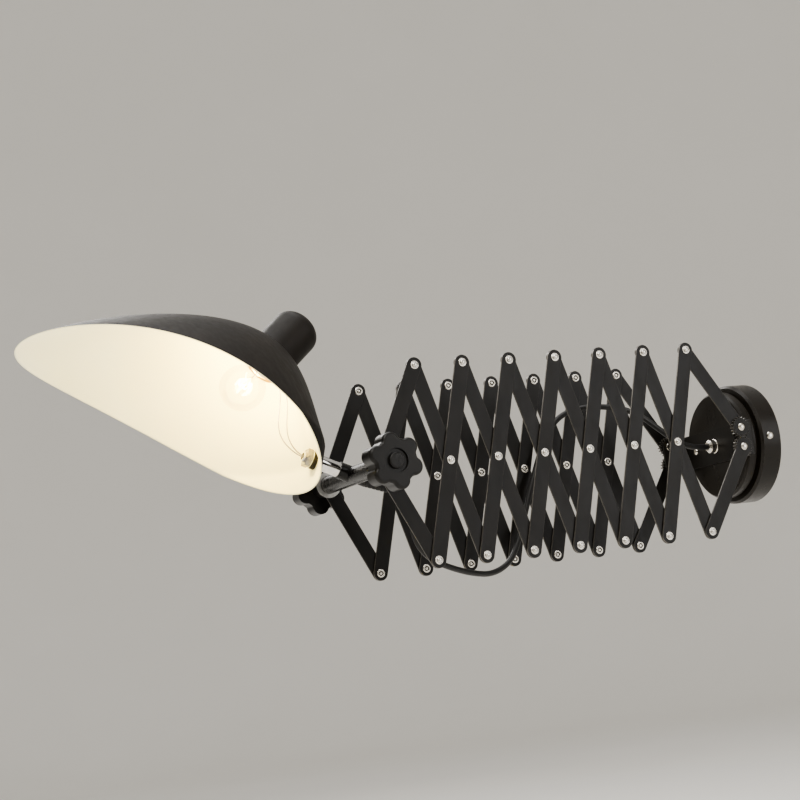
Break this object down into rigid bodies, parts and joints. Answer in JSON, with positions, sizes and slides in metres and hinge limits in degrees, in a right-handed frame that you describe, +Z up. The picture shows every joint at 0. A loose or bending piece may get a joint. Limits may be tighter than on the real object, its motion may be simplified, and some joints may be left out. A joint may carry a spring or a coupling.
{
  "type": "accordion wall lamp",
  "caption": "Extending wall lamp: a round plate, two matched scissor arms of black strips, a knobbed cross tube and a long scoop shade over a round bulb.",
  "frame": {"origin": "centre of the wall plate's back, on the wall", "axes": "+X out of the wall along the arm, +Z up, the two chains at +Y and -Y"},
  "size_m": [0.7661, 0.219, 0.2772],
  "materials": {
    "strip_black": "satin black, worn bright at the edges",
    "black_steel": "satin black",
    "plate_paint": "satin black",
    "strap_steel": "zinc plated",
    "nickel": "nickel plated",
    "chrome": "bright plated",
    "shade_enamel": "matt black outside, white inside",
    "holder_plastic": "matt",
    "knob_plastic": "satin",
    "sleeve_rubber": "ribbed",
    "cord_sheath": "smooth",
    "bulb_glass": "clear",
    "cap_metal": "bare"
  },
  "bodies": {
    "wall": {"wall_plate": "plate_paint", "wall_strap": "strap_steel", "bracket": "black_steel", "wall_fasteners": "nickel", "cord_gland": "nickel", "cord": "cord_sheath"},
    "wall_upper": {"wall_links_upper": "strip_black"},
    "wall_lower": {"wall_links_lower": "strip_black"},
    "cross_1": {"rivets_cross_1": "nickel"},
    "a1": {"strip_a1_near": "strip_black", "strip_a1_far": "strip_black", "rivets_a1": "nickel"},
    "b1": {"strip_b1_near": "strip_black", "strip_b1_far": "strip_black", "rivets_b1": "nickel"},
    "cross_2": {"rivets_cross_2": "nickel"},
    "a2": {"strip_a2_near": "strip_black", "strip_a2_far": "strip_black", "rivets_a2": "nickel"},
    "b2": {"strip_b2_near": "strip_black", "strip_b2_far": "strip_black"},
    "cross_3": {"rivets_cross_3": "nickel"},
    "a3": {"strip_a3_near": "strip_black", "strip_a3_far": "strip_black", "rivets_a3": "nickel"},
    "b3": {"strip_b3_near": "strip_black", "strip_b3_far": "strip_black"},
    "cross_4": {"rivets_cross_4": "nickel"},
    "a4": {"strip_a4_near": "strip_black", "strip_a4_far": "strip_black", "rivets_a4": "nickel"},
    "b4": {"strip_b4_near": "strip_black", "strip_b4_far": "strip_black"},
    "cross_5": {"rivets_cross_5": "nickel"},
    "a5": {"strip_a5_near": "strip_black", "strip_a5_far": "strip_black", "rivets_a5": "nickel"},
    "b5": {"strip_b5_near": "strip_black", "strip_b5_far": "strip_black"},
    "cross_6": {"rivets_cross_6": "nickel"},
    "a6": {"strip_a6_near": "strip_black", "strip_a6_far": "strip_black", "rivets_a6": "nickel"},
    "b6": {"strip_b6_near": "strip_black", "strip_b6_far": "strip_black", "rivets_b6": "nickel"},
    "front_upper": {"front_links_upper": "strip_black"},
    "front_lower": {"front_links_lower": "strip_black"},
    "clamp": {"clamp_washers": "nickel"},
    "head": {"cross_tube": "black_steel", "cord_sleeve": "sleeve_rubber", "stem": "chrome", "stem_nut": "nickel"},
    "knob_near": {"knob_near": "knob_plastic"},
    "knob_far": {"knob_far": "knob_plastic"},
    "shade": {"shade": "shade_enamel", "holder_cup": "shade_enamel", "lampholder": "holder_plastic", "bulb_glass": "bulb_glass", "bulb_cap": "cap_metal"}
  },
  "joints": [
    {"name": "extend", "type": "slide", "parent": "wall", "child": "clamp", "axis": [1, 0, 0], "range_m": [-0.1095, 0.2236], "deforming": ["cord"]},
    {"name": "cross_6_travel", "type": "slide", "parent": "wall", "child": "cross_6", "axis": [1, 0, 0], "range_m": [-0.0174, 0.03031]},
    {"name": "a6_turn", "type": "hinge", "parent": "cross_6", "child": "a6", "pos_m": [0.13088, 0, 0], "axis": [0, 1, 0], "range_deg": [-12.74, 7.26]},
    {"name": "b6_turn", "type": "hinge", "parent": "cross_6", "child": "b6", "pos_m": [0.13088, 0, 0], "axis": [0, 1, 0], "range_deg": [-7.26, 12.74]},
    {"name": "cross_5_travel", "type": "slide", "parent": "wall", "child": "cross_5", "axis": [1, 0, 0], "range_m": [-0.0341, 0.06443]},
    {"name": "a5_turn", "type": "hinge", "parent": "cross_5", "child": "a5", "pos_m": [0.18141, 0, 0], "axis": [0, 1, 0], "range_deg": [-12.74, 7.26]},
    {"name": "b5_turn", "type": "hinge", "parent": "cross_5", "child": "b5", "pos_m": [0.18141, 0, 0], "axis": [0, 1, 0], "range_deg": [-7.26, 12.74]},
    {"name": "cross_4_travel", "type": "slide", "parent": "wall", "child": "cross_4", "axis": [1, 0, 0], "range_m": [-0.05081, 0.09854]},
    {"name": "a4_turn", "type": "hinge", "parent": "cross_4", "child": "a4", "pos_m": [0.23195, 0, 0], "axis": [0, 1, 0], "range_deg": [-12.74, 7.26]},
    {"name": "b4_turn", "type": "hinge", "parent": "cross_4", "child": "b4", "pos_m": [0.23195, 0, 0], "axis": [0, 1, 0], "range_deg": [-7.26, 12.74]},
    {"name": "cross_3_travel", "type": "slide", "parent": "wall", "child": "cross_3", "axis": [1, 0, 0], "range_m": [-0.06752, 0.13266]},
    {"name": "a3_turn", "type": "hinge", "parent": "cross_3", "child": "a3", "pos_m": [0.28248, 0, 0], "axis": [0, 1, 0], "range_deg": [-12.74, 7.26]},
    {"name": "b3_turn", "type": "hinge", "parent": "cross_3", "child": "b3", "pos_m": [0.28248, 0, 0], "axis": [0, 1, 0], "range_deg": [-7.26, 12.74]},
    {"name": "cross_2_travel", "type": "slide", "parent": "wall", "child": "cross_2", "axis": [1, 0, 0], "range_m": [-0.08422, 0.16677]},
    {"name": "a2_turn", "type": "hinge", "parent": "cross_2", "child": "a2", "pos_m": [0.33302, 0, 0], "axis": [0, 1, 0], "range_deg": [-12.74, 7.26]},
    {"name": "b2_turn", "type": "hinge", "parent": "cross_2", "child": "b2", "pos_m": [0.33302, 0, 0], "axis": [0, 1, 0], "range_deg": [-7.26, 12.74]},
    {"name": "cross_1_travel", "type": "slide", "parent": "wall", "child": "cross_1", "axis": [1, 0, 0], "range_m": [-0.10093, 0.20089]},
    {"name": "a1_turn", "type": "hinge", "parent": "cross_1", "child": "a1", "pos_m": [0.38355, 0, 0], "axis": [0, 1, 0], "range_deg": [-12.74, 7.26]},
    {"name": "b1_turn", "type": "hinge", "parent": "cross_1", "child": "b1", "pos_m": [0.38355, 0, 0], "axis": [0, 1, 0], "range_deg": [-7.26, 12.74]},
    {"name": "wall_upper_turn", "type": "hinge", "parent": "wall", "child": "wall_upper", "pos_m": [0.0529, 0, 0.01], "axis": [0, 1, 0], "range_deg": [-4.85, 7.81]},
    {"name": "wall_lower_turn", "type": "hinge", "parent": "wall", "child": "wall_lower", "pos_m": [0.0529, 0, -0.01], "axis": [0, 1, 0], "range_deg": [-7.81, 4.85]},
    {"name": "front_upper_turn", "type": "hinge", "parent": "clamp", "child": "front_upper", "pos_m": [0.45389, 0, 0], "axis": [0, 1, 0], "range_deg": [-8.68, 5.27]},
    {"name": "front_lower_turn", "type": "hinge", "parent": "clamp", "child": "front_lower", "pos_m": [0.45389, 0, 0], "axis": [0, 1, 0], "range_deg": [-5.27, 8.68]},
    {"name": "tilt", "type": "hinge", "parent": "clamp", "child": "head", "pos_m": [0.45389, 0, 0], "axis": [0, 1, 0], "range_deg": [-25, 80]},
    {"name": "swivel", "type": "hinge", "parent": "head", "child": "shade", "pos_m": [0.49029, 0, 0.01659], "axis": [0.91, 0, 0.4147], "range_deg": [-60, 60]},
    {"name": "knob_near_turn", "type": "hinge", "parent": "head", "child": "knob_near", "pos_m": [0.45389, 0.09, 0], "axis": [0, 1, 0], "range_deg": [-180, 180]},
    {"name": "knob_far_turn", "type": "hinge", "parent": "head", "child": "knob_far", "pos_m": [0.45389, -0.09, 0], "axis": [0, 1, 0], "range_deg": [-180, 180]}
  ],
  "couplings": [
    {"joint": "cross_6_travel", "follows": "extend", "ratio": 0.1132},
    {"joint": "a6_turn", "follows": "extend", "rad_per_m": -0.83827},
    {"joint": "b6_turn", "follows": "extend", "rad_per_m": 0.83827},
    {"joint": "cross_5_travel", "follows": "extend", "ratio": 0.26577},
    {"joint": "a5_turn", "follows": "extend", "rad_per_m": -0.83827},
    {"joint": "b5_turn", "follows": "extend", "rad_per_m": 0.83827},
    {"joint": "cross_4_travel", "follows": "extend", "ratio": 0.41835},
    {"joint": "a4_turn", "follows": "extend", "rad_per_m": -0.83827},
    {"joint": "b4_turn", "follows": "extend", "rad_per_m": 0.83827},
    {"joint": "cross_3_travel", "follows": "extend", "ratio": 0.57092},
    {"joint": "a3_turn", "follows": "extend", "rad_per_m": -0.83827},
    {"joint": "b3_turn", "follows": "extend", "rad_per_m": 0.83827},
    {"joint": "cross_2_travel", "follows": "extend", "ratio": 0.72349},
    {"joint": "a2_turn", "follows": "extend", "rad_per_m": -0.83827},
    {"joint": "b2_turn", "follows": "extend", "rad_per_m": 0.83827},
    {"joint": "cross_1_travel", "follows": "extend", "ratio": 0.87607},
    {"joint": "a1_turn", "follows": "extend", "rad_per_m": -0.83827},
    {"joint": "b1_turn", "follows": "extend", "rad_per_m": 0.83827},
    {"joint": "wall_upper_turn", "follows": "extend", "rad_per_m": 0.45367},
    {"joint": "wall_lower_turn", "follows": "extend", "rad_per_m": -0.45367},
    {"joint": "front_upper_turn", "follows": "extend", "rad_per_m": -0.52148},
    {"joint": "front_lower_turn", "follows": "extend", "rad_per_m": 0.52148}
  ]
}
